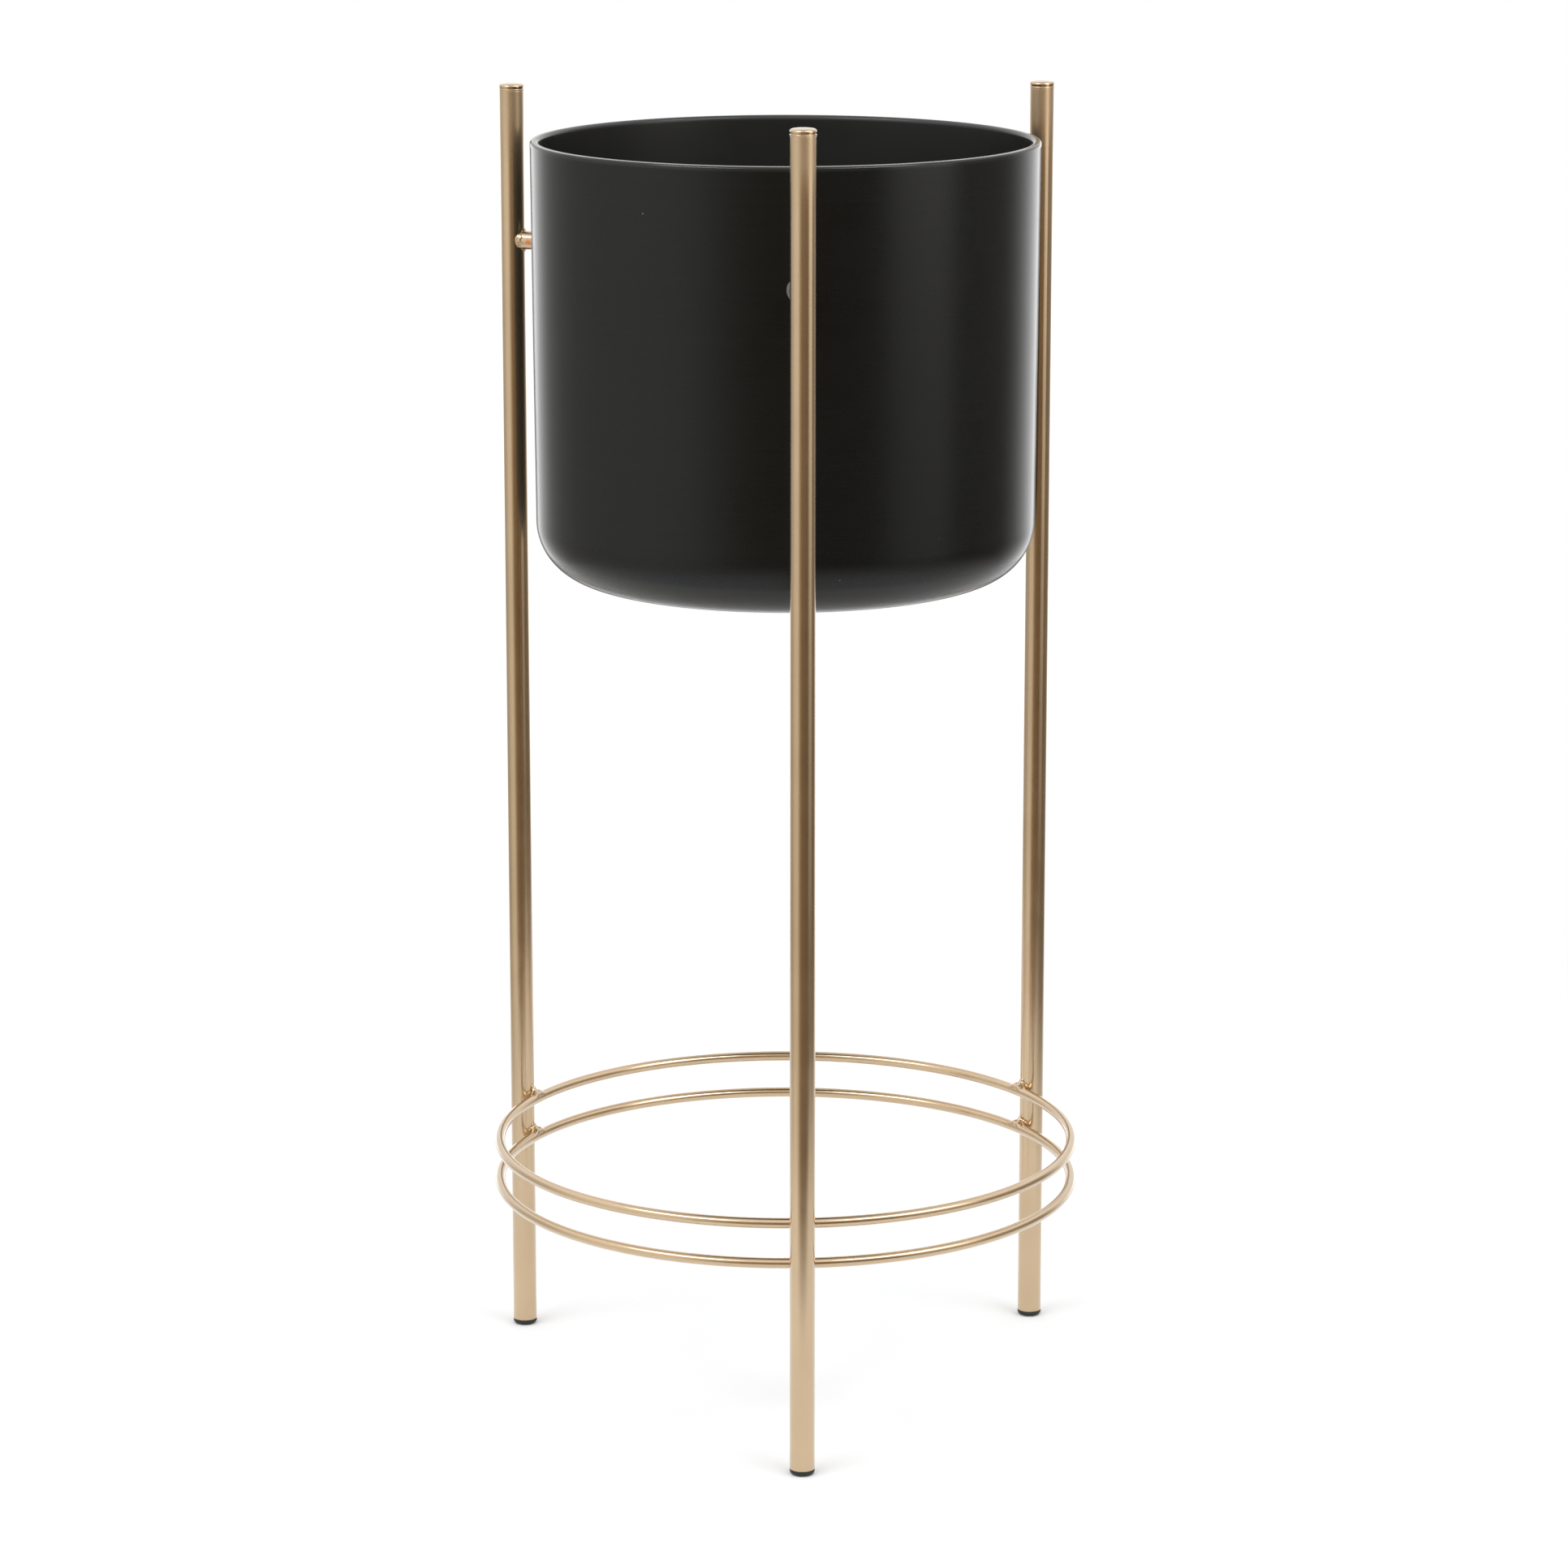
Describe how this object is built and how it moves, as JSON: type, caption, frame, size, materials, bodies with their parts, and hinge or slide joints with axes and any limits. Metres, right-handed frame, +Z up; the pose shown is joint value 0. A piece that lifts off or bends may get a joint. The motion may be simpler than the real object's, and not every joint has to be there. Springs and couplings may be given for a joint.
{
  "type": "plant stand",
  "caption": "Tall slim tube-legged plant stand with a straight-sided dark round pot hung on side standoffs and wire rings bracing the legs low down.",
  "frame": {"origin": "on the floor, under the middle of the bounding box; the pot and ring axis stands 6.5 mm behind it, toward +Y", "axes": "+Z up, the front leg toward -Y, the other two legs toward +Y left and right, +X to the right seen from the front"},
  "size_m": [0.308, 0.3212, 0.679],
  "materials": {
    "pot_black": "satin, near black",
    "frame_gold": "satin champagne gold",
    "foot_black": "matte black",
    "washer_grey": "matte pale grey",
    "seal_rubber": "matte",
    "screw_steel": "zinc-plated"
  },
  "bodies": {
    "root": {"planter_pot": "pot_black", "leg_front": "frame_gold", "leg_left": "frame_gold", "leg_right": "frame_gold", "top_cap_front": "frame_gold", "top_cap_left": "frame_gold", "top_cap_right": "frame_gold", "foot_front": "foot_black", "foot_left": "foot_black", "foot_right": "foot_black", "ring_upper": "frame_gold", "ring_lower": "frame_gold", "standoff_front": "frame_gold", "standoff_left": "frame_gold", "standoff_right": "frame_gold", "outer_washer_front": "washer_grey", "outer_washer_left": "washer_grey", "outer_washer_right": "washer_grey", "seal_washer_front": "seal_rubber", "seal_washer_left": "seal_rubber", "seal_washer_right": "seal_rubber", "steel_washer_front": "screw_steel", "steel_washer_left": "screw_steel", "steel_washer_right": "screw_steel", "pot_screw_front": "screw_steel", "pot_screw_left": "screw_steel", "pot_screw_right": "screw_steel", "ring_welds_front": "frame_gold", "ring_welds_left": "frame_gold", "ring_welds_right": "frame_gold", "standoff_weld_front": "frame_gold", "standoff_weld_left": "frame_gold", "standoff_weld_right": "frame_gold"}
  },
  "joints": []
}
